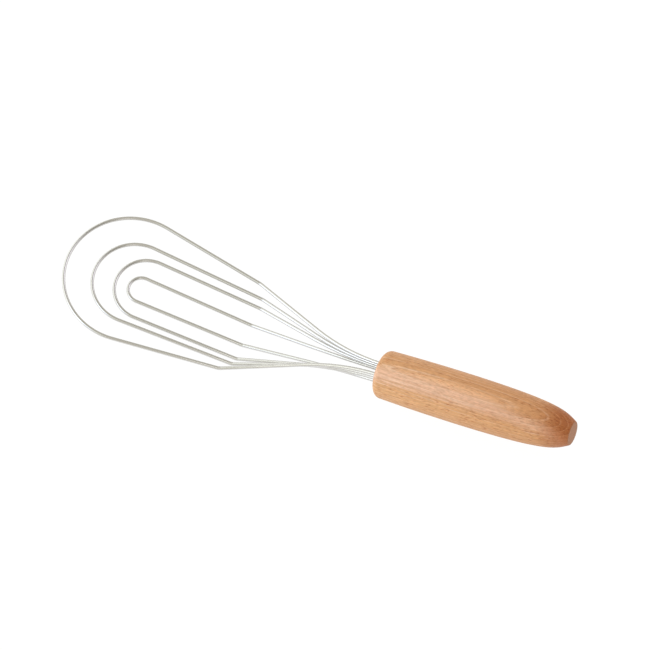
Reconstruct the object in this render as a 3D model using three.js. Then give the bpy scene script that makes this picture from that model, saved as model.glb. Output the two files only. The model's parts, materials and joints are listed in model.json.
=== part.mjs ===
// Flat whisk: four nested loops of steel wire potted in a turned beech handle.
// Millimetres, +Z up. The whisk lies on a table at z = 0, its head towards -X and its handle towards +X.

import * as THREE from "three";

// Wire, and how finely its sweep is divided.
const WIRE_DIAMETER = 1.8;
const WIRE_SIDES = 10;
const ARC_STEP = 7.5; // degrees between sections on a bend
const STRAIGHT_STEP = 15; // longest straight between sections

// The round end of each loop: its centre line's radius.
const OUTER_TIP_RADIUS = 32.5;
const SECOND_TIP_RADIUS = 20.9;
const THIRD_TIP_RADIUS = 15.7;
const INNER_TIP_RADIUS = 6.45;

// From each loop's bend to the centre of its round end, along the head.
const OUTER_REACH = 57.6;
const SECOND_REACH = 59.3;
const THIRD_REACH = 54.1;
const INNER_REACH = 56;

// How far the straight sides of each loop lean apart towards the round end, in degrees.
const OUTER_TAPER = 8.2;
const SECOND_TAPER = 2.2;
const THIRD_TAPER = 1.25;
const INNER_TAPER = 0.75;

// The neck, from the mouth of the handle to the bends, where the flat head tilts up.
const NECK_LENGTH = 71;
const HEAD_TILT = 14; // degrees
const BEND_RADIUS = 6; // centre line of the wire
const FLARE_LENGTH = 19.2; // from the mouth to the corner that the flaring curve rounds off

// How far each loop bends past the end of the neck.
const OUTER_BEND_SHIFT = 3.5;
const SECOND_BEND_SHIFT = 0.2;
const THIRD_BEND_SHIFT = -0.2;
const INNER_BEND_SHIFT = 1.2;

// The loops lie in layers: each bends at its own height above or below the handle's axis.
const OUTER_BEND_HEIGHT = 2.9;
const SECOND_BEND_HEIGHT = -0.95;
const THIRD_BEND_HEIGHT = -2.9;
const INNER_BEND_HEIGHT = -5.2;

// The tails of the loops stand in two columns in the handle, one row for each loop.
const TAIL_DEPTH = 35;
const COLUMN_PITCH = 6;
const ROW_GAP = 0.6; // clear height between two tails

// The handle and its blind bore, which resin fills around the tails.
const HANDLE_LENGTH = 100;
const BELLY_DIAMETER = 24.8;
const BELLY_FROM_MOUTH = 40;
const BUTT_DIAMETER = 11.6;
const BUTT_FLARE = 28.5; // degrees, between the axis and the side where it leaves the butt
const BUTT_PULL = 7.5; // how far the curve follows that flare
const BELLY_PULL = 50.5; // how far it follows the belly on its way to the butt
const MOUTH_WALL = 5.1; // wood around the bore
const RIM_ROUND = 3.5;
const BORE_BEYOND_TAILS = 3;
const RESIN_WALL = 0.5; // resin outside the corner tails
const RESIN_RECESS = 0.6; // from the mouth in to the resin
const CLEARANCE = 0.3; // between pieces that touch on the real whisk
const HANDLE_SEGMENTS = 48;

// From the outside in, which is also from the top layer down.
const LOOPS = [
  {
    name: "outer_loop",
    tipRadius: OUTER_TIP_RADIUS,
    reach: OUTER_REACH,
    taper: OUTER_TAPER,
    bendShift: OUTER_BEND_SHIFT,
    bendHeight: OUTER_BEND_HEIGHT,
  },
  {
    name: "second_loop",
    tipRadius: SECOND_TIP_RADIUS,
    reach: SECOND_REACH,
    taper: SECOND_TAPER,
    bendShift: SECOND_BEND_SHIFT,
    bendHeight: SECOND_BEND_HEIGHT,
  },
  {
    name: "third_loop",
    tipRadius: THIRD_TIP_RADIUS,
    reach: THIRD_REACH,
    taper: THIRD_TAPER,
    bendShift: THIRD_BEND_SHIFT,
    bendHeight: THIRD_BEND_HEIGHT,
  },
  {
    name: "inner_loop",
    tipRadius: INNER_TIP_RADIUS,
    reach: INNER_REACH,
    taper: INNER_TAPER,
    bendShift: INNER_BEND_SHIFT,
    bendHeight: INNER_BEND_HEIGHT,
  },
];

const wireRadius = WIRE_DIAMETER / 2;
const rowPitch = WIRE_DIAMETER + ROW_GAP;
const columnOffset = COLUMN_PITCH / 2;
const middleRow = (LOOPS.length - 1) / 2;
const slotRadius = wireRadius + CLEARANCE;
const resinRadius = Math.hypot(columnOffset, middleRow * rowPitch) + slotRadius + RESIN_WALL;
const boreRadius = resinRadius + CLEARANCE;
const boreDepth = TAIL_DEPTH + BORE_BEYOND_TAILS;
const mouthRadius = boreRadius + MOUTH_WALL;
const rimRound = Math.min(RIM_ROUND, MOUTH_WALL);

const beech = new THREE.MeshStandardMaterial({ color: 0xcf9a6e, roughness: 0.6, metalness: 0 });
const steel = new THREE.MeshStandardMaterial({ color: 0xc4c2bc, roughness: 0.25, metalness: 1 });
const resin = new THREE.MeshStandardMaterial({ color: 0x9a7446, roughness: 0.4, metalness: 0 });

const radians = THREE.MathUtils.degToRad;

// A wire's path: sections placed where its bends need them, each with a point and a direction.
class WirePath extends THREE.Curve {
  constructor(sections) {
    super();
    this.sections = sections;
  }

  get steps() {
    return this.sections.length - 1;
  }

  // Equal steps along the path are whole sections, however far apart they lie.
  getUtoTmapping(u) {
    return u;
  }

  sectionAt(t) {
    return this.sections[Math.round(t * this.steps)];
  }

  getPoint(t, target = new THREE.Vector3()) {
    return target.copy(this.sectionAt(t).point);
  }

  getTangent(t, target = new THREE.Vector3()) {
    return target.copy(this.sectionAt(t).direction);
  }
}

// An arc that starts at a point and turns about an axis through its centre.
function arc(centre, start, axis, angle) {
  const steps = Math.max(2, Math.ceil(angle / radians(ARC_STEP)));
  const spoke = start.clone().sub(centre);
  return Array.from({ length: steps + 1 }, (_, i) => {
    const turned = spoke.clone().applyAxisAngle(axis, (angle * i) / steps);
    const direction = axis.clone().cross(turned).normalize();
    return { point: turned.add(centre), direction };
  });
}

// The arc that rounds off a corner, tangent to both of its sides.
// It has the radius asked for, or starts the asked length before the corner.
function roundedCorner(before, corner, after, { radius, length }) {
  const incoming = corner.clone().sub(before).normalize();
  const outgoing = after.clone().sub(corner).normalize();
  const angle = incoming.angleTo(outgoing);
  const trim = length ?? radius * Math.tan(angle / 2);
  const bend = radius ?? length / Math.tan(angle / 2);
  const axis = incoming.clone().cross(outgoing).normalize();
  const start = corner.clone().addScaledVector(incoming, -trim);
  const centre = axis.clone().cross(incoming).multiplyScalar(bend).add(start);
  return { centre, sections: arc(centre, start, axis, angle) };
}

// Sections along the straight between two sections, which keep their places at its ends.
function straight(from, to) {
  const count = Math.ceil(from.point.distanceTo(to.point) / STRAIGHT_STEP) - 1;
  return Array.from({ length: Math.max(0, count) }, (_, i) => ({
    point: from.point.clone().lerp(to.point, (i + 1) / (count + 1)),
    direction: to.point.clone().sub(from.point).normalize(),
  }));
}

// Joins runs of sections with straights.
function join(runs) {
  return runs.reduce((path, run) => [...path, ...straight(path.at(-1), run[0]), ...run]);
}

// The same sections on the other side of the whisk, walked the other way.
function mirrored(sections) {
  const across = new THREE.Vector3(1, -1, 1);
  return sections
    .map(({ point, direction }) => ({
      point: point.clone().multiply(across),
      direction: direction.clone().multiply(across).negate(),
    }))
    .reverse();
}

// One loop: tail, flare, neck, bend and straight side, the round end, and the same back again.
// The origin is the middle of the handle's mouth, with +X along the handle.
function loopPath({ tipRadius, reach, taper, bendShift, bendHeight }, row) {
  const tilt = radians(HEAD_TILT);
  const lean = radians(taper);
  const headAxis = new THREE.Vector3(-Math.cos(tilt), 0, Math.sin(tilt));
  const across = new THREE.Vector3(0, 1, 0);
  const bendWidth = tipRadius / Math.cos(lean) - reach * Math.tan(lean);

  const tailHeight = (middleRow - row) * rowPitch;
  const tailEnd = new THREE.Vector3(TAIL_DEPTH, columnOffset, tailHeight);
  const flareCorner = new THREE.Vector3(-FLARE_LENGTH, columnOffset, tailHeight);
  const headOrigin = new THREE.Vector3(-NECK_LENGTH - bendShift, 0, bendHeight);
  const bendCorner = headOrigin.clone().addScaledVector(across, bendWidth);
  const tipCentre = headOrigin.clone().addScaledVector(headAxis, reach);
  const tipStart = tipCentre
    .clone()
    .addScaledVector(headAxis, -tipRadius * Math.sin(lean))
    .addScaledVector(across, tipRadius * Math.cos(lean));

  const tail = [{ point: tailEnd, direction: new THREE.Vector3(-1, 0, 0) }];
  const flare = roundedCorner(tailEnd, flareCorner, bendCorner, { length: FLARE_LENGTH });
  const bend = roundedCorner(flareCorner, bendCorner, tipStart, { radius: BEND_RADIUS });
  const headNormal = across.clone().cross(headAxis);
  const roundEnd = arc(tipCentre, tipStart, headNormal, Math.PI + 2 * lean);
  const side = join([tail, flare.sections, bend.sections]);
  return { path: new WirePath(join([side, roundEnd, mirrored(side)])), bendCentre: bend.centre };
}

function wireSection() {
  const corners = Array.from({ length: WIRE_SIDES }, (_, i) => {
    const angle = (2 * Math.PI * i) / WIRE_SIDES;
    return new THREE.Vector2(wireRadius * Math.cos(angle), wireRadius * Math.sin(angle));
  });
  return new THREE.Shape(corners);
}

function wireLoop(name, path) {
  const sweep = { extrudePath: path, steps: path.steps };
  const mesh = new THREE.Mesh(new THREE.ExtrudeGeometry(wireSection(), sweep), steel);
  mesh.name = name;
  return mesh;
}

// The handle is turned: its outline runs from the butt along the side, round the rim and into the bore.
function handleMesh() {
  const at = (radius, fromButt) => new THREE.Vector2(radius, fromButt);
  const bellyRadius = BELLY_DIAMETER / 2;
  const buttRadius = BUTT_DIAMETER / 2;
  const flare = radians(BUTT_FLARE);
  const bellyAt = HANDLE_LENGTH - BELLY_FROM_MOUTH;
  const rimAt = HANDLE_LENGTH - rimRound;
  const boreEndAt = HANDLE_LENGTH - boreDepth;

  const buttEdge = at(buttRadius, 0);
  const offButt = at(buttRadius + BUTT_PULL * Math.sin(flare), BUTT_PULL * Math.cos(flare));
  const belly = at(bellyRadius, bellyAt);
  const nearBelly = at(bellyRadius, bellyAt - BELLY_PULL);
  const towardsRim = at(bellyRadius, (bellyAt + rimAt) / 2);
  const rimStart = at(mouthRadius, rimAt);
  const rim = new THREE.EllipseCurve(mouthRadius - rimRound, rimAt, rimRound, rimRound, 0, Math.PI / 2);

  const outline = [
    at(0, 0),
    ...new THREE.CubicBezierCurve(buttEdge, offButt, nearBelly, belly).getPoints(14),
    ...new THREE.QuadraticBezierCurve(belly, towardsRim, rimStart).getPoints(6).slice(1),
    ...rim.getPoints(6).slice(1),
    at(boreRadius, HANDLE_LENGTH),
    at(boreRadius, boreEndAt),
    at(0, boreEndAt),
  ];
  const mesh = new THREE.Mesh(new THREE.LatheGeometry(outline, HANDLE_SEGMENTS), beech);
  mesh.name = "handle";
  mesh.rotation.z = Math.PI / 2;
  mesh.position.x = HANDLE_LENGTH;
  return mesh;
}

// The resin fills the bore and leaves a slot for each column of tails.
function resinMesh() {
  const plug = new THREE.Shape().absarc(0, 0, resinRadius, 0, 2 * Math.PI);
  const slotHalf = middleRow * rowPitch;
  for (const column of [-columnOffset, columnOffset]) {
    const slot = new THREE.Path();
    slot.absarc(slotHalf, column, slotRadius, -Math.PI / 2, Math.PI / 2);
    slot.absarc(-slotHalf, column, slotRadius, Math.PI / 2, (3 * Math.PI) / 2);
    slot.closePath();
    plug.holes.push(slot);
  }
  const depth = boreDepth - CLEARANCE - RESIN_RECESS;
  const geometry = new THREE.ExtrudeGeometry(plug, { depth, bevelEnabled: false, curveSegments: 16 });
  const mesh = new THREE.Mesh(geometry, resin);
  mesh.name = "resin_plug";
  mesh.rotation.y = Math.PI / 2;
  mesh.position.x = RESIN_RECESS;
  return mesh;
}

// How far the whisk tips forward until a bend rests on the table, with the handle on its rim:
// the table is the line that touches both of these circles from below.
function tipForward({ bendCentre }) {
  const along = rimRound - bendCentre.x;
  const up = rimRound - mouthRadius - bendCentre.z;
  const bendUnderside = BEND_RADIUS + wireRadius;
  const turn = Math.acos((rimRound - bendUnderside) / Math.hypot(along, up));
  return Math.PI / 2 - Math.atan2(up, along) - turn;
}

const whisk = new THREE.Group();
whisk.add(handleMesh(), resinMesh());
const routes = LOOPS.map(loopPath);
LOOPS.forEach(({ name }, row) => whisk.add(wireLoop(name, routes[row].path)));

// Laid down, with the origin under the middle of its box.
whisk.rotation.y = -Math.min(...routes.map(tipForward));
const box = new THREE.Box3().setFromObject(whisk, true);
const middle = box.getCenter(new THREE.Vector3());
whisk.position.set(-middle.x, -middle.y, -box.min.z);

export default whisk;
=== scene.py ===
"""Flat whisk: four nested loops of drawn steel wire, potted in a turned beech handle.

The pieces are made in the handle's own frame: the origin is the middle of its mouth, +X runs along
the handle to the butt, +Y across the head and +Z up. One matrix lays them down on the table.
"""

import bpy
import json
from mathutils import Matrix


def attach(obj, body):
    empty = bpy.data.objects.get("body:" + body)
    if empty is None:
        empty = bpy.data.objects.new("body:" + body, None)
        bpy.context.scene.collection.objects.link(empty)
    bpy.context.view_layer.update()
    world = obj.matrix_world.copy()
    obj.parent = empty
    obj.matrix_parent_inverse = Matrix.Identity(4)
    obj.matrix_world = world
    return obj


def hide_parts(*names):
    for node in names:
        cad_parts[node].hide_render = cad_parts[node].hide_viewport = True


bl_info = {
    "name": "Flat Whisk",
    "version": (1, 0, 0),
    "blender": (4, 5, 0),
    "location": "3D View > Sidebar > Whisk",
    "description": "Dresses the solids of a flat whisk: wire loops, beech handle and potting resin",
    "category": "Add Mesh",
}

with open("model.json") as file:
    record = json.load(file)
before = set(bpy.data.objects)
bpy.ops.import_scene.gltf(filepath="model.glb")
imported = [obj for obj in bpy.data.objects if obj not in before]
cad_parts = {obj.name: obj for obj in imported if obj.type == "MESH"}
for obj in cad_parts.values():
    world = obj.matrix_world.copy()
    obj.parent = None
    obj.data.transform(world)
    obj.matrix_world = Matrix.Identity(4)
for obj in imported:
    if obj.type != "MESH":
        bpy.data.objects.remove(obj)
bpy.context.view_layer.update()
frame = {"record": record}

import json
import math

import bpy
from bpy.props import FloatProperty, FloatVectorProperty, PointerProperty
from bpy.types import NodeSocket, Operator, Panel, PropertyGroup
from mathutils import Matrix, Quaternion, Vector

MM = 0.001
BODY = "root"

# From the outside in, which is also from the top layer down.
LOOP_NODES = ("outer_loop", "second_loop", "third_loop", "inner_loop")

# How finely the meshes are divided.
HANDLE_SEGMENTS = 160
WIRE_SIDES = 20
ARC_STEP = math.radians(3)
RESIN_RINGS = 36
SIDE_STEPS = 72
RIM_CURVE_STEPS = 24
RIM_ROUND_STEPS = 14
EASE_STEPS = 5

# Play between faces that all but touch.
HAIR = 0.02 * MM

ACROSS = Vector((0, 1, 0))
UP = Vector((0, 0, 1))

# Where the growth rings are centred in the handle's frame, and the radius of the topmost one.
PITH = Vector((0, -1.67, 23.9)) * MM
FIRST_RING = 12.0 * MM

# Stage: lengths in metres apart from the sensor, directions as (azimuth, elevation) in degrees.
SENSOR_WIDTH_MM = 36
CLIP_END = 100
FLOOR_HALF = 4.0
FLOOR_ROUGHNESS = 0.35
FLOOR_SPECULAR = 0.2
KEY_DIRECTION = (226.2, 26.1)
KEY_DISTANCE = 1.5
KEY_AIM = Vector((0, 0, 0))
FILL_DIRECTION = (240, 52)
FILL_DISTANCE = 0.14
FILL_AIM = Vector((25, -3, 18)) * MM

# Parts of the room: setting, blending, direction, and edge and core in degrees from the centre.
ROOM_SPOTS = (
    ("window", "ADD", (181.2, 15.6), 54.9, 52.9),
    ("cool_wall", "ADD", (37.2, 37.9), 29.3, 14.7),
    ("bounce", "ADD", (247.9, 50.1), 16.5, 15.5),
    ("side_flag", "MULTIPLY", (351.3, 39), 34.3, 0.5),
    ("top_flag", "MULTIPLY", (69.4, 62), 12.5, 6.1),
)


def distance(name, description, default):
    """A length that a user can change."""
    return FloatProperty(
        name=name, description=description, default=default, subtype="DISTANCE", unit="LENGTH"
    )


def angle(name, description, degrees):
    """An angle that a user can change."""
    turn = math.radians(degrees)
    return FloatProperty(
        name=name, description=description, default=turn, subtype="ANGLE", unit="ROTATION"
    )


def colour(name, description, default):
    """A colour that a user can change."""
    return FloatVectorProperty(
        name=name, description=description, default=default, size=3, min=0, max=1, subtype="COLOR"
    )


def power(name, description, watts):
    """The power of a light that a user can change."""
    return FloatProperty(
        name=name, description=description, default=watts, min=0, subtype="POWER", unit="POWER"
    )


def loop_distances(name, description, millimetres):
    """One length for each loop, from the outer loop in."""
    default = [value * MM for value in millimetres]
    return FloatVectorProperty(
        name=name, description=description, default=default, size=len(LOOP_NODES), unit="LENGTH"
    )


def loop_angles(name, description, degrees):
    """One angle for each loop, from the outer loop in."""
    default = [math.radians(value) for value in degrees]
    return FloatVectorProperty(
        name=name, description=description, default=default, size=len(LOOP_NODES), unit="ROTATION"
    )


class WhiskWires(PropertyGroup):
    """Sizes and finish of the four wire loops."""

    diameter: distance("Wire diameter", "Thickness of the wire", 1.8 * MM)
    tip_radius: loop_distances("Tip radius", "Round end of each loop", (32.5, 20.9, 15.7, 6.45))
    reach: loop_distances(
        "Reach", "From each bend to the centre of the round end", (57.6, 59.3, 54.1, 56)
    )
    taper: loop_angles("Taper", "Lean of each loop's straight sides", (8.2, 2.2, 1.25, 0.75))
    bend_shift: loop_distances(
        "Bend shift", "How far each loop bends past the neck", (3.5, 0.2, -0.2, 1.2)
    )
    bend_height: loop_distances(
        "Bend height", "Layer of each loop above the axis", (2.9, -0.95, -2.9, -5.2)
    )
    neck_length: distance("Neck length", "From the mouth of the handle to the bends", 71 * MM)
    head_tilt: angle("Head tilt", "How far the flat head tilts up from the neck", 14)
    bend_radius: distance("Bend radius", "Centre line of the wire at the bend", 6 * MM)
    flare_length: distance(
        "Flare length", "From the mouth to the corner that the flare rounds off", 19.2 * MM
    )
    tail_depth: distance("Tail depth", "How far the tails reach into the handle", 35 * MM)
    column_pitch: distance("Column pitch", "Between the two columns of tails", 6 * MM)
    row_gap: distance("Row gap", "Clear height between two tails", 0.6 * MM)
    steel: colour("Steel", "Colour of the polished wire", (0.67, 0.662, 0.648))
    dull_steel: colour("Dull steel", "Colour of the die lines along the wire", (0.6, 0.592, 0.578))


class WhiskHandle(PropertyGroup):
    """Sizes and finish of the turned handle."""

    length: distance("Length", "From the mouth to the butt", 100 * MM)
    belly_diameter: distance("Belly diameter", "Where the handle is thickest", 24.8 * MM)
    belly_from_mouth: distance("Belly from mouth", "Where the belly lies along the handle", 40 * MM)
    butt_diameter: distance("Butt diameter", "The flat round end", 11.6 * MM)
    butt_flare: angle("Butt flare", "Between the axis and the side where it leaves the butt", 28.5)
    butt_pull: distance("Butt pull", "How far the side follows that flare", 7.5 * MM)
    belly_pull: distance("Belly pull", "How far the side follows the belly towards the butt", 50.5 * MM)
    mouth_wall: distance("Mouth wall", "Wood around the bore at the mouth", 5.1 * MM)
    rim_round: distance("Rim round", "Rounding of the rim at the mouth", 3.5 * MM)
    edge_ease: distance("Edge ease", "Sanding of the butt's edge and of the bore's edge", 0.35 * MM)
    ring_width: distance("Ring width", "From one growth ring to the next", 1.75 * MM)
    # Wood colour of the far side, kept a little darker as painted shade there.
    heart_wood_and_far_shade: colour("Heart wood", "Orange tan of the far side", (0.685, 0.37, 0.178))
    sap_wood: colour("Sap wood", "Yellow tan of the near side", (0.772, 0.443, 0.221))
    rosy_wood: colour("Rosy wood", "Pale pinkish band along the handle", (0.85, 0.545, 0.385))
    pale_wood: colour("Pale wood", "Inside of the topmost ring", (0.82, 0.48, 0.265))
    late_wood: colour("Late wood", "Tint of the wood at the end of a ring", (0.87, 0.79, 0.71))
    ring_line: colour("Ring line", "Pale line between two rings", (0.92, 0.66, 0.48))
    fleck: colour("Fleck", "Tint of the short dark rays", (0.7, 0.52, 0.43))
    # Painted shade: darkens the underside of the handle.
    underside_painted_shade: colour("Underside shade", "Painted shade on the underside", (0.86, 0.83, 0.82))
    # Painted shade that deepens from the mouth towards the butt, as the light falls off along the
    # handle.
    painted_falloff_shade: colour("Falloff shade", "Tint that grows from the mouth towards the butt", (0.9, 0.82, 0.76))
    butt_tint: colour("Butt tint", "Oil-darkened wood where the grain runs out", (0.70, 0.47, 0.31))
    end_grain: colour("End grain", "The sanded butt", (0.40, 0.175, 0.08))


class WhiskResin(PropertyGroup):
    """Sizes and finish of the potting in the bore."""

    wall: distance("Wall", "Resin outside the corner tails", 0.5 * MM)
    recess: distance("Recess", "From the mouth in to the resin", 0.6 * MM)
    clearance: distance("Clearance", "Play between the solids of wire, resin and bore", 0.3 * MM)
    beyond_tails: distance("Beyond tails", "Depth of the bore past the tails", 3 * MM)
    creep: distance("Creep", "How far the resin climbs the tails and the bore", 0.45 * MM)
    amber: colour("Amber", "Colour of the resin", (0.36, 0.19, 0.07))
    bubble: colour("Bubble", "Colour of the small bubbles", (0.62, 0.42, 0.22))


class WhiskStage(PropertyGroup):
    """Camera, light and floor."""

    azimuth: angle("Azimuth", "Camera's turn about the vertical", 34.22)
    elevation: angle("Elevation", "Camera's height above the table", 61.98)
    roll: angle("Roll", "Camera's turn about its own axis", -11.75)
    camera_distance: distance("Distance", "From the camera to the whisk", 2400 * MM)
    focal_length: FloatProperty(
        name="Focal length", description="Lens of the camera", default=276.9, subtype="DISTANCE_CAMERA"
    )
    aim: FloatVectorProperty(
        name="Aim", description="Point in the middle of the picture",
        default=(-3.13 * MM, 13.78 * MM, 12.13 * MM), size=3, subtype="TRANSLATION", unit="LENGTH",
    )
    floor: colour("Floor", "Pale table under the whisk", (0.08, 0.08, 0.08))
    floor_glow: FloatProperty(
        name="Floor glow", description="Light that comes through the white table", default=0.95, min=0
    )
    room: colour("Room", "Soft light from all of the studio", (0.717, 0.691, 0.613))
    window: colour("Window", "Light from the wall beyond the head", (0.679, 0.733, 0.744))
    cool_wall: colour("Cool wall", "Bluish light from behind the handle", (0.8, 0.781, 0.983))
    bounce: colour("Bounce", "Light from a card above the key light", (0.479, 0.553, 0.499))
    side_flag: colour(
        "Side flag", "What a dark screen beyond the butt lets through", (0.415, 0.415, 0.415)
    )
    top_flag: colour(
        "Top flag", "What a dark screen above the far side lets through", (0.1, 0.1, 0.1)
    )
    key: colour("Key", "Colour of the large round light", (0.525, 0.643, 1.0))
    key_diameter: distance("Key diameter", "Width of the large round light", 1104 * MM)
    key_power: power("Key power", "Power of the large round light", 3.086)
    fill: colour("Fill", "Colour of the small round light near the neck", (1.0, 1.0, 1.0))
    fill_diameter: distance("Fill diameter", "Width of the small round light", 60 * MM)
    fill_power: power("Fill power", "Power of the small round light", 0.0085)


class WhiskSettings(PropertyGroup):
    """All settings of the whisk."""

    wires: PointerProperty(type=WhiskWires, name="Wires", description="The four wire loops")
    handle: PointerProperty(type=WhiskHandle, name="Handle", description="The turned handle")
    resin: PointerProperty(type=WhiskResin, name="Resin", description="The potting in the bore")
    stage: PointerProperty(type=WhiskStage, name="Stage", description="Camera, light and floor")


# Sizes that follow from others.

def tail_centres(whisk):
    """Where the tails stand in the bore, as (across, up), row by row."""
    pitch = whisk.wires.diameter + whisk.wires.row_gap
    middle = (len(LOOP_NODES) - 1) / 2
    columns = (-whisk.wires.column_pitch / 2, whisk.wires.column_pitch / 2)
    return [(column, (middle - row) * pitch) for row in range(len(LOOP_NODES)) for column in columns]


def bore_radius(whisk):
    """The bore holds the corner tails with resin around them."""
    corner = max(math.hypot(across, up) for across, up in tail_centres(whisk))
    return corner + whisk.wires.diameter / 2 + whisk.resin.wall + 2 * whisk.resin.clearance


def bore_depth(whisk):
    """The bore goes a little deeper than the tails."""
    return whisk.wires.tail_depth + whisk.resin.beyond_tails


def handle_place(whisk):
    """The matrix that lays the handle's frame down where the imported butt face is."""
    butt = next(mount for mount in frame["record"]["mounts"] if mount["name"] == "butt_face")
    axis = Vector(butt["axis"]).normalized()
    mouth = Vector(butt["pos_m"]) - axis * whisk.handle.length
    turn = Matrix((axis, ACROSS, axis.cross(ACROSS))).transposed()
    return Matrix.LocRotScale(mouth, turn.to_quaternion(), None)


# Meshes.

def lathe(outline, segments):
    """A solid turned about the X axis from (x, radius) points that start and end on the axis."""
    first, *rings, last = outline
    verts = [(first[0], 0, 0), (last[0], 0, 0)]
    for x, radius in rings:
        for i in range(segments):
            turn = math.tau * i / segments
            verts.append((x, radius * math.cos(turn), radius * math.sin(turn)))

    def corner(ring, i):
        return 2 + ring * segments + i % segments

    end = len(rings) - 1
    faces = []
    for i in range(segments):
        faces.append((0, corner(0, i), corner(0, i + 1)))
        for ring in range(end):
            after = ring + 1
            faces.append((corner(ring, i), corner(after, i), corner(after, i + 1), corner(ring, i + 1)))
        faces.append((1, corner(end, i + 1), corner(end, i)))
    return verts, faces


def arc(centre, start, axis, sweep):
    """Points on an arc that starts at a point and turns about an axis through its centre."""
    steps = max(2, math.ceil(sweep / ARC_STEP))
    spoke = start - centre
    return [centre + Quaternion(axis, sweep * i / steps) @ spoke for i in range(steps + 1)]


def rounded_corner(before, corner, after, radius=None, trim=None):
    """The arc that rounds off a corner, of a given radius or starting a given length before it."""
    incoming = (corner - before).normalized()
    outgoing = (after - corner).normalized()
    sweep = incoming.angle(outgoing)
    trim = trim or radius * math.tan(sweep / 2)
    radius = radius or trim / math.tan(sweep / 2)
    axis = incoming.cross(outgoing).normalized()
    start = corner - incoming * trim
    return arc(start + axis.cross(incoming) * radius, start, axis, sweep)


def loop_route(whisk, row):
    """Centre line of one loop: tail, flare, neck, bend, side and round end, and the same back again."""
    wires = whisk.wires
    lean = wires.taper[row]
    tip_radius = wires.tip_radius[row]
    reach = wires.reach[row]
    column, tail_height = tail_centres(whisk)[2 * row + 1]
    head_axis = Vector((-math.cos(wires.head_tilt), 0, math.sin(wires.head_tilt)))
    bend_width = tip_radius / math.cos(lean) - reach * math.tan(lean)

    tail_end = Vector((wires.tail_depth, column, tail_height))
    flare_corner = Vector((-wires.flare_length, column, tail_height))
    head_origin = Vector((-wires.neck_length - wires.bend_shift[row], 0, wires.bend_height[row]))
    bend_corner = head_origin + ACROSS * bend_width
    tip_centre = head_origin + head_axis * reach
    tip_start = tip_centre + (ACROSS * math.cos(lean) - head_axis * math.sin(lean)) * tip_radius

    flare = rounded_corner(tail_end, flare_corner, bend_corner, trim=wires.flare_length)
    bend = rounded_corner(flare_corner, bend_corner, tip_start, radius=wires.bend_radius)
    round_end = arc(tip_centre, tip_start, ACROSS.cross(head_axis), math.pi + 2 * lean)
    side = [tail_end, *flare, *bend]
    other_side = [Vector((point.x, -point.y, point.z)) for point in reversed(side)]
    return [*side, *round_end, *other_side]


def wire_tube(route, radius):
    """A closed tube along a route, and for each corner how far along and where around the wire it is."""
    verts = []
    lay = []
    travelled = 0
    normal = UP
    last = len(route) - 1
    for i, point in enumerate(route):
        direction = (route[min(i + 1, last)] - route[max(i - 1, 0)]).normalized()
        normal = (normal - direction * normal.dot(direction)).normalized()
        side = direction.cross(normal)
        travelled += (point - route[max(i - 1, 0)]).length
        for k in range(WIRE_SIDES):
            turn = math.tau * k / WIRE_SIDES
            verts.append(point + (normal * math.cos(turn) + side * math.sin(turn)) * radius)
            lay.append((travelled, math.cos(turn), math.sin(turn)))

    faces = []
    for i in range(last):
        for k in range(WIRE_SIDES):
            here, there = i * WIRE_SIDES, (i + 1) * WIRE_SIDES
            after = (k + 1) % WIRE_SIDES
            faces.append((here + k, here + after, there + after, there + k))
    faces.append(tuple(reversed(range(WIRE_SIDES))))
    faces.append(tuple(last * WIRE_SIDES + k for k in range(WIRE_SIDES)))
    return verts, faces, lay


def curve(points, steps):
    """Points on the Bezier curve of any number of control points, after the first one."""
    order = len(points) - 1
    found = []
    for i in range(1, steps + 1):
        t = i / steps
        weights = [math.comb(order, k) * t ** k * (1 - t) ** (order - k) for k in range(order + 1)]
        found.append(tuple(sum(w * p[axis] for w, p in zip(weights, points)) for axis in (0, 1)))
    return found


def quarter_round(centre, radius, start, steps):
    """A quarter turn outline point by point, after its first point."""
    x, y = centre
    turns = [start + math.pi / 2 * i / steps for i in range(1, steps + 1)]
    return [(x + radius * math.cos(turn), y + radius * math.sin(turn)) for turn in turns]


def handle_outline(whisk):
    """From the middle of the butt along the side, round the rim and into the bore, as (x, radius)."""
    handle = whisk.handle
    ease = handle.edge_ease
    bore = bore_radius(whisk)
    mouth = bore + handle.mouth_wall
    belly = handle.belly_diameter / 2
    butt = handle.butt_diameter / 2
    flare = handle.butt_flare
    pull = handle.butt_pull

    butt_edge = (handle.length, butt)
    off_butt = (handle.length - pull * math.cos(flare), butt + pull * math.sin(flare))
    near_belly = (handle.belly_from_mouth + handle.belly_pull, belly)
    belly_point = (handle.belly_from_mouth, belly)
    towards_rim = ((handle.belly_from_mouth + handle.rim_round) / 2, belly)
    rim_start = (handle.rim_round, mouth)

    rim_centre = (handle.rim_round, mouth - handle.rim_round)

    side = curve([butt_edge, off_butt, near_belly, belly_point], SIDE_STEPS)
    eased = [point for point in side if math.dist(point, butt_edge) > ease]
    on_butt = (handle.length, butt - ease)
    return [
        (handle.length, 0),
        (handle.length, butt * 0.5),
        (handle.length, butt - 2 * ease),
        on_butt,
        *curve([on_butt, butt_edge, eased[0]], EASE_STEPS)[:-1],
        *eased,
        *curve([belly_point, towards_rim, rim_start], RIM_CURVE_STEPS),
        *quarter_round(rim_centre, handle.rim_round, math.pi / 2, RIM_ROUND_STEPS),
        (0, bore + 2 * ease),
        (0, bore + ease),
        *curve([(0, bore + ease), (0, bore), (ease, bore)], EASE_STEPS),
        (2 * ease, bore),
        (bore_depth(whisk) - ease, bore),
        (bore_depth(whisk), bore),
        (bore_depth(whisk), 0),
    ]


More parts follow.
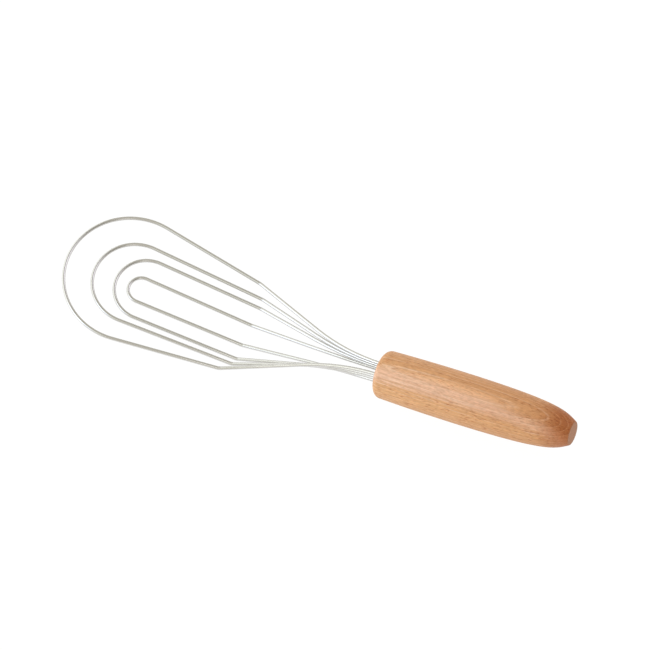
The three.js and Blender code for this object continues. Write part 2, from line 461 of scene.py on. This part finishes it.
def resin_mesh(whisk):
    """The poured plug: its front climbs a little up the tails and up the bore."""
    resin = whisk.resin
    radius = bore_radius(whisk) - HAIR
    back = bore_depth(whisk) - resin.clearance
    tails = tail_centres(whisk)

    def front(across, up):
        to_wall = radius - math.hypot(across, up)
        to_tail = min(math.dist((across, up), tail) for tail in tails) - whisk.wires.diameter / 2
        climb = math.exp(-max(0, min(to_wall, to_tail)) / resin.creep)
        return resin.recess - resin.creep * climb

    outline = [(0, 0)]
    outline += [(0, radius * i / RESIN_RINGS) for i in range(1, RESIN_RINGS + 1)]
    outline += [(back, radius), (back, 0)]
    verts, faces = lathe(list(reversed(outline)), HANDLE_SEGMENTS)
    shaped = [(front(y, z) if x == 0 else x, y, z) for x, y, z in verts]
    return shaped, faces


def new_piece(whisk, name, verts, faces, material, node):
    """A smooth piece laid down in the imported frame, standing for one of its nodes."""
    mesh = bpy.data.meshes.new(name)
    mesh.from_pydata(verts, [], faces)
    mesh.transform(handle_place(whisk))
    mesh.shade_smooth()
    mesh.materials.append(material)
    piece = bpy.data.objects.new(name, mesh)
    bpy.context.scene.collection.objects.link(piece)
    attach(piece, BODY)
    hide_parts(node)
    return piece


# Materials.

def add_node(tree, kind, inputs=None, **settings):
    """A shader node whose inputs are set to values or linked to other nodes' outputs."""
    made = tree.nodes.new(kind)
    for name, value in settings.items():
        setattr(made, name, value)
    for name, value in (inputs or {}).items():
        if isinstance(value, NodeSocket):
            tree.links.new(value, made.inputs[name])
        else:
            made.inputs[name].default_value = value
    return made


def new_material(name):
    """An empty material with its shader joined to its output."""
    material = bpy.data.materials.new(name)
    material.use_nodes = True
    tree = material.node_tree
    tree.nodes.clear()
    shader = add_node(tree, "ShaderNodeBsdfPrincipled")
    add_node(tree, "ShaderNodeOutputMaterial", {"Surface": shader.outputs["BSDF"]})
    return material, tree, shader


def calculate(tree, operation, first, second=0.0):
    """The outcome of a sum on two numbers."""
    return add_node(tree, "ShaderNodeMath", {0: first, 1: second}, operation=operation).outputs[0]


def vector(tree, operation, first, second):
    """The outcome of a sum on two vectors."""
    return add_node(tree, "ShaderNodeVectorMath", {0: first, 1: second}, operation=operation).outputs[0]


def scaled(tree, first, factor):
    """A vector or a colour times a number."""
    made = add_node(tree, "ShaderNodeVectorMath", {0: first, "Scale": factor}, operation="SCALE")
    return made.outputs[0]


def noise(tree, place, per_metre, detail=2.0, roughness=0.5):
    """Noise whose grains are as long as the inverse of per_metre on each axis."""
    stretched = vector(tree, "MULTIPLY", place, per_metre)
    inputs = {"Vector": stretched, "Scale": 1.0, "Detail": detail, "Roughness": roughness}
    return add_node(tree, "ShaderNodeTexNoise", inputs)


def fade(tree, value, low, high, to_low=0.0, to_high=1.0):
    """A smooth step from one value to another while the input goes from low to high."""
    inputs = {"Value": value, "From Min": low, "From Max": high, "To Min": to_low, "To Max": to_high}
    return add_node(tree, "ShaderNodeMapRange", inputs, interpolation_type="SMOOTHSTEP").outputs[0]


def mix(tree, factor, first, second, blend_type="MIX"):
    """Two colours blended by a factor, each a constant or another node's output."""
    made = add_node(tree, "ShaderNodeMix", {0: factor}, data_type="RGBA", blend_type=blend_type)
    for index, value in ((6, first), (7, second)):
        if isinstance(value, NodeSocket):
            tree.links.new(value, made.inputs[index])
        else:
            made.inputs[index].default_value = (*value, 1)
    return made.outputs[2]


def levels(tree, value, stops):
    """A grey ramp through (position, level) stops."""
    ramp = add_node(tree, "ShaderNodeValToRGB", {"Fac": value})
    elements = ramp.color_ramp.elements
    while len(elements) < len(stops):
        elements.new(0.5)
    for element, (position, level) in zip(elements, stops):
        element.position = position
        element.color = (level, level, level, 1)
    return ramp.outputs["Color"]


def handle_coordinates(tree, whisk):
    """Places in the handle's own frame, so that the grain runs along the handle."""
    mouth, turn, _ = handle_place(whisk).decompose()
    place = add_node(tree, "ShaderNodeTexCoord").outputs["Object"]
    inputs = {"Vector": place, "Location": mouth, "Rotation": turn.to_euler()}
    return add_node(tree, "ShaderNodeMapping", inputs, vector_type="TEXTURE").outputs["Vector"]


def beech_material(whisk):
    """Oiled beech: growth rings, a rosy band, short dark rays, fine fibres and a darker butt, with
    painted shade on the far side, on the underside and deepening towards the butt.
    """
    material, tree, shader = new_material("oiled_beech")
    handle = whisk.handle
    place = handle_coordinates(tree, whisk)
    wander = noise(tree, place, (14, 60, 60), detail=2).outputs["Color"]
    wander = scaled(tree, vector(tree, "SUBTRACT", wander, (0.5, 0.5, 0.5)), 0.8 * MM)
    wood = vector(tree, "ADD", place, wander)
    axes = add_node(tree, "ShaderNodeSeparateXYZ", {"Vector": place})
    along = axes.outputs["X"]

    # Growth rings, of uneven width away from the topmost one.
    spoke = vector(tree, "MULTIPLY", vector(tree, "SUBTRACT", wood, PITH), (0, 1, 1))
    from_pith = add_node(tree, "ShaderNodeVectorMath", {0: spoke}, operation="LENGTH").outputs["Value"]
    past_first = calculate(tree, "SUBTRACT", from_pith, FIRST_RING)
    count = calculate(tree, "DIVIDE", past_first, handle.ring_width)
    outwards = add_node(tree, "ShaderNodeCombineXYZ", {"X": from_pith}).outputs["Vector"]
    seasons = noise(tree, outwards, (230, 1, 1), detail=1).outputs["Fac"]
    season = calculate(tree, "SUBTRACT", seasons, 0.5)
    uneven = calculate(tree, "MULTIPLY", season, fade(tree, count, 2, 5, 0, 2))
    ring = calculate(tree, "FRACT", calculate(tree, "ADD", count, uneven))
    topmost = fade(tree, count, 0.05, -0.25)
    late = levels(tree, ring, [(0.0, 0.0), (0.5, 0.2), (0.85, 0.75), (1.0, 1.0)])
    late = calculate(tree, "MULTIPLY", late, calculate(tree, "SUBTRACT", 1.0, topmost))
    line = levels(tree, ring, [(0.0, 0.9), (0.07, 0.7), (0.16, 0.0), (0.9, 0.0), (1.0, 0.9)])

    # Fibres, streaks and short dark rays.
    cloud = noise(tree, place, (22, 90, 90), detail=2).outputs["Fac"]
    fibres = noise(tree, wood, (110, 3200, 3200), detail=3, roughness=0.6).outputs["Fac"]
    streaks = noise(tree, wood, (28, 1300, 1300), detail=3, roughness=0.6).outputs["Fac"]
    mottle = noise(tree, wood, (500, 900, 900), detail=2).outputs["Fac"]
    dashes = noise(tree, wood, (330, 2200, 2200), detail=1).outputs["Fac"]
    dashes = fade(tree, dashes, 0.56, 0.72)
    dashes = calculate(tree, "MULTIPLY", dashes, fade(tree, cloud, 0.3, 0.6, 0.35, 1))

    # Tones from side to side, with the rosy band between them; the far side's tone holds a little
    # painted shade, and the underside gets painted shade too.
    across = calculate(tree, "ADD", axes.outputs["Y"], calculate(tree, "MULTIPLY", streaks, 5 * MM))
    near = fade(tree, across, -4 * MM, -8 * MM)
    drift = calculate(tree, "ADD", across, fade(tree, along, 56 * MM, 82 * MM, 0, 2.7 * MM))
    band = calculate(
        tree, "MULTIPLY", fade(tree, drift, 3 * MM, -2 * MM), fade(tree, across, -7.3 * MM, -3.7 * MM)
    )
    tone = mix(tree, near, handle.heart_wood_and_far_shade, handle.sap_wood)
    tone = mix(tree, topmost, tone, handle.pale_wood)
    tone = mix(tree, calculate(tree, "MULTIPLY", band, 0.9), tone, handle.rosy_wood)
    tone = mix(tree, calculate(tree, "MULTIPLY", late, 0.8), tone, handle.late_wood, "MULTIPLY")
    broken_line = calculate(tree, "MULTIPLY", line, fade(tree, streaks, 0.38, 0.62, 0.15, 0.65))
    tone = mix(tree, broken_line, tone, handle.ring_line)
    pale_streaks = calculate(tree, "MULTIPLY", fade(tree, streaks, 0.56, 0.72), band)
    tone = mix(tree, calculate(tree, "MULTIPLY", pale_streaks, 0.6), tone, handle.ring_line)
    dashes = calculate(tree, "MULTIPLY", dashes, fade(tree, band, 0, 1, 1, 0.5))
    tone = mix(tree, dashes, tone, handle.fleck, "MULTIPLY")
    # Painted shade that darkens the underside of the handle.
    under = fade(tree, axes.outputs["Z"], 5 * MM, -5 * MM)
    tone = mix(tree, under, tone, handle.underside_painted_shade, "MULTIPLY")
    tone = scaled(tree, tone, fade(tree, fibres, 0.2, 0.8, 0.86, 1.12))
    tone = scaled(tree, tone, fade(tree, mottle, 0.25, 0.75, 0.92, 1.07))

    # Painted shade that deepens from the mouth towards the butt, as the light falls off along the
    # handle; then the wood that darkens where the grain runs out, and the end grain, which is darkest.
    tone = mix(tree, fade(tree, along, -20 * MM, 95 * MM), tone, handle.painted_falloff_shade, "MULTIPLY")
    uneven_along = calculate(tree, "ADD", along, calculate(tree, "MULTIPLY", cloud, 12 * MM))
    lag = fade(tree, axes.outputs["Y"], -3 * MM, -8 * MM, 0, 2.5 * MM)
    uneven_along = calculate(tree, "SUBTRACT", uneven_along, lag)
    run_out = fade(tree, uneven_along, 86 * MM, 104 * MM)
    tone = mix(tree, run_out, tone, handle.butt_tint, "MULTIPLY")
    on_butt = fade(tree, along, handle.length - handle.edge_ease, handle.length - HAIR)
    pores = noise(tree, place, (3000, 3000, 3000), detail=2).outputs["Fac"]
    sanded = mix(tree, calculate(tree, "MULTIPLY", line, 0.12), handle.end_grain, handle.ring_line)
    sanded = scaled(tree, sanded, fade(tree, pores, 0.25, 0.7, 0.75, 1.1))
    tone = mix(tree, on_butt, tone, sanded)

    relief = calculate(tree, "SUBTRACT", fibres, calculate(tree, "MULTIPLY", dashes, 0.6))
    bump = add_node(tree, "ShaderNodeBump", {"Strength": 0.3, "Distance": 0.08 * MM, "Height": relief})
    tree.links.new(tone, shader.inputs["Base Color"])
    tree.links.new(fade(tree, fibres, 0.2, 0.8, 0.58, 0.46), shader.inputs["Roughness"])
    tree.links.new(bump.outputs["Normal"], shader.inputs["Normal"])
    shader.inputs["Specular IOR Level"].default_value = 0.25
    return material


def steel_material(wires):
    """Polished drawn wire: fine die lines that run along it, and faint cloudy rubbing."""
    material, tree, shader = new_material("drawn_steel")
    lay = add_node(tree, "ShaderNodeAttribute", attribute_name="lay").outputs["Vector"]
    die_lines = noise(tree, lay, (10, 5, 5), detail=3, roughness=0.6).outputs["Fac"]
    place = add_node(tree, "ShaderNodeTexCoord").outputs["Object"]
    rubbing = noise(tree, place, (160, 160, 160), detail=3).outputs["Fac"]
    tone = mix(tree, fade(tree, die_lines, 0.4, 0.75), wires.steel, wires.dull_steel)
    drawn = fade(tree, die_lines, 0.3, 0.8, 0.1, 0.2)
    rough = calculate(tree, "ADD", drawn, fade(tree, rubbing, 0.3, 0.7, 0, 0.08))
    relief = {"Strength": 0.1, "Distance": 0.02 * MM, "Height": die_lines}
    bump = add_node(tree, "ShaderNodeBump", relief)
    tree.links.new(tone, shader.inputs["Base Color"])
    tree.links.new(rough, shader.inputs["Roughness"])
    tree.links.new(bump.outputs["Normal"], shader.inputs["Normal"])
    shader.inputs["Metallic"].default_value = 1.0
    return material


def resin_material(resin):
    """Set amber resin with a few small bubbles and a skin that isn't quite even."""
    material, tree, shader = new_material("amber_resin")
    place = add_node(tree, "ShaderNodeTexCoord").outputs["Object"]
    cells = add_node(tree, "ShaderNodeTexVoronoi", {"Vector": place, "Scale": 900.0})
    bubbles = cells.outputs["Distance"]
    cloud = noise(tree, place, (400, 400, 400), detail=3).outputs["Fac"]
    tone = scaled(tree, resin.amber[:], fade(tree, cloud, 0.3, 0.7, 0.7, 1.15))
    tone = mix(tree, fade(tree, bubbles, 0.22, 0.12, 0, 0.5), tone, resin.bubble)
    bump = add_node(tree, "ShaderNodeBump", {"Strength": 0.4, "Distance": 0.1 * MM, "Height": cloud})
    tree.links.new(tone, shader.inputs["Base Color"])
    tree.links.new(fade(tree, cloud, 0.3, 0.7, 0.18, 0.34), shader.inputs["Roughness"])
    tree.links.new(bump.outputs["Normal"], shader.inputs["Normal"])
    return material


def floor_material(stage):
    """A plain pale table that glows white."""
    material, tree, shader = new_material("pale_table")
    shader.inputs["Base Color"].default_value = (*stage.floor, 1)
    shader.inputs["Roughness"].default_value = FLOOR_ROUGHNESS
    shader.inputs["Specular IOR Level"].default_value = FLOOR_SPECULAR
    shader.inputs["Emission Color"].default_value = (1, 1, 1, 1)
    shader.inputs["Emission Strength"].default_value = stage.floor_glow
    return material


# Stage.

def point_at(place, target):
    """A matrix at a place whose -Z looks at a target, with the picture's top up."""
    look = (target - place).to_track_quat("-Z", "Y")
    return Matrix.LocRotScale(place, look, None)


def new_camera(stage):
    """A camera whose azimuth 0 looks along +Y."""
    aim = Vector(stage.aim)
    flat = math.cos(stage.elevation)
    turn = stage.azimuth
    back = Vector((math.sin(turn) * flat, -math.cos(turn) * flat, math.sin(stage.elevation)))
    data = bpy.data.cameras.new("camera")
    data.lens = stage.focal_length
    data.sensor_width = SENSOR_WIDTH_MM
    data.clip_end = CLIP_END
    camera = bpy.data.objects.new("camera", data)
    bpy.context.scene.collection.objects.link(camera)
    level = point_at(aim + back * stage.camera_distance, aim)
    camera.matrix_world = level @ Matrix.Rotation(stage.roll, 4, "Z")
    bpy.context.scene.camera = camera


def new_round_light(name, place, target, diameter, tint, watts):
    """A soft round light that faces a target."""
    data = bpy.data.lights.new(name, "AREA")
    data.shape = "DISK"
    data.size = diameter
    data.color = tint
    data.energy = watts
    light = bpy.data.objects.new(name, data)
    bpy.context.scene.collection.objects.link(light)
    light.matrix_world = point_at(place, target)


def new_floor(stage):
    """A square table top at height 0."""
    half = FLOOR_HALF
    corners = [(-half, -half, 0), (half, -half, 0), (half, half, 0), (-half, half, 0)]
    mesh = bpy.data.meshes.new("floor")
    mesh.from_pydata(corners, [], [(0, 1, 2, 3)])
    mesh.materials.append(floor_material(stage))
    floor = bpy.data.objects.new("floor", mesh)
    bpy.context.scene.collection.objects.link(floor)


def towards(azimuth, elevation):
    """The direction at an angle from +X towards +Y and at an angle above the table, in degrees."""
    flat = math.cos(math.radians(elevation))
    turn = math.radians(azimuth)
    return Vector((flat * math.cos(turn), flat * math.sin(turn), math.sin(math.radians(elevation))))


def spot(tree, direction, centre, edge, core):
    """A round spot of the room: 1 within the core and 0 beyond the edge, in degrees from its centre."""
    inputs = {0: direction, 1: centre}
    facing = add_node(tree, "ShaderNodeVectorMath", inputs, operation="DOT_PRODUCT").outputs["Value"]
    return fade(tree, facing, math.cos(math.radians(edge)), math.cos(math.radians(core)))


def new_world(stage):
    """A soft grey room with a bright wall, a cool wall, a bounce card and two dark flags."""
    world = bpy.data.worlds.new("studio")
    world.use_nodes = True
    tree = world.node_tree
    tree.nodes.clear()
    direction = add_node(tree, "ShaderNodeTexCoord").outputs["Generated"]
    tone = stage.room
    for name, blend_type, centre, edge, core in ROOM_SPOTS:
        share = spot(tree, direction, towards(*centre), edge, core)
        tone = mix(tree, share, tone, getattr(stage, name), blend_type)
    background = add_node(tree, "ShaderNodeBackground", {"Color": tone, "Strength": 1.0})
    add_node(tree, "ShaderNodeOutputWorld", {"Surface": background.outputs[0]})
    bpy.context.scene.world = world


class WHISK_OT_bend_loops(Operator):
    """Bend the four wire loops"""

    bl_idname = "whisk.bend_loops"
    bl_label = "Bend the Wire Loops"

    def execute(self, context):
        whisk = context.scene.whisk
        steel = steel_material(whisk.wires)
        for row, node in enumerate(LOOP_NODES):
            verts, faces, lay = wire_tube(loop_route(whisk, row), whisk.wires.diameter / 2)
            piece = new_piece(whisk, f"wire_{node}", verts, faces, steel, node)
            along = piece.data.attributes.new("lay", "FLOAT_VECTOR", "POINT")
            along.data.foreach_set("vector", [value for corner in lay for value in corner])
        return {"FINISHED"}


class WHISK_OT_turn_handle(Operator):
    """Turn the beech handle with its bore"""

    bl_idname = "whisk.turn_handle"
    bl_label = "Turn the Handle"

    def execute(self, context):
        whisk = context.scene.whisk
        verts, faces = lathe(handle_outline(whisk), HANDLE_SEGMENTS)
        new_piece(whisk, "turned_handle", verts, faces, beech_material(whisk), "handle")
        return {"FINISHED"}


class WHISK_OT_pour_resin(Operator):
    """Pour the resin that holds the tails in the bore"""

    bl_idname = "whisk.pour_resin"
    bl_label = "Pour the Resin"

    def execute(self, context):
        whisk = context.scene.whisk
        verts, faces = resin_mesh(whisk)
        amber = resin_material(whisk.resin)
        new_piece(whisk, "potting_resin", verts, faces, amber, "resin_plug")
        return {"FINISHED"}


class WHISK_OT_set_stage(Operator):
    """Set up the camera, the soft lights, the room and the floor"""

    bl_idname = "whisk.set_stage"
    bl_label = "Set the Stage"

    def execute(self, context):
        stage = context.scene.whisk.stage
        new_camera(stage)
        new_floor(stage)
        new_world(stage)
        key_place = KEY_AIM + towards(*KEY_DIRECTION) * KEY_DISTANCE
        fill_place = FILL_AIM + towards(*FILL_DIRECTION) * FILL_DISTANCE
        new_round_light("key", key_place, KEY_AIM, stage.key_diameter, stage.key, stage.key_power)
        new_round_light("fill", fill_place, FILL_AIM, stage.fill_diameter, stage.fill, stage.fill_power)
        context.scene.view_settings.view_transform = "Standard"
        return {"FINISHED"}


class WHISK_PT_sidebar(Panel):
    """Lists the settings and the steps of the whisk"""

    bl_idname = "WHISK_PT_sidebar"
    bl_label = "Flat Whisk"
    bl_space_type = "VIEW_3D"
    bl_region_type = "UI"
    bl_category = "Whisk"

    def draw(self, context):
        whisk = context.scene.whisk
        for settings, step in (
            (whisk.wires, WHISK_OT_bend_loops),
            (whisk.handle, WHISK_OT_turn_handle),
            (whisk.resin, WHISK_OT_pour_resin),
            (whisk.stage, WHISK_OT_set_stage),
        ):
            box = self.layout.box()
            for name in settings.__annotations__:
                box.prop(settings, name)
            box.operator(step.bl_idname)


CLASSES = (
    WhiskWires,
    WhiskHandle,
    WhiskResin,
    WhiskStage,
    WhiskSettings,
    WHISK_OT_bend_loops,
    WHISK_OT_turn_handle,
    WHISK_OT_pour_resin,
    WHISK_OT_set_stage,
    WHISK_PT_sidebar,
)


def register():
    for cls in CLASSES:
        bpy.utils.register_class(cls)
    bpy.types.Scene.whisk = PointerProperty(type=WhiskSettings)


def unregister():
    del bpy.types.Scene.whisk
    for cls in reversed(CLASSES):
        bpy.utils.unregister_class(cls)


def main():
    register()
    bpy.ops.whisk.turn_handle()
    bpy.ops.whisk.pour_resin()
    bpy.ops.whisk.bend_loops()
    bpy.ops.whisk.set_stage()


if __name__ == "__main__":
    main()
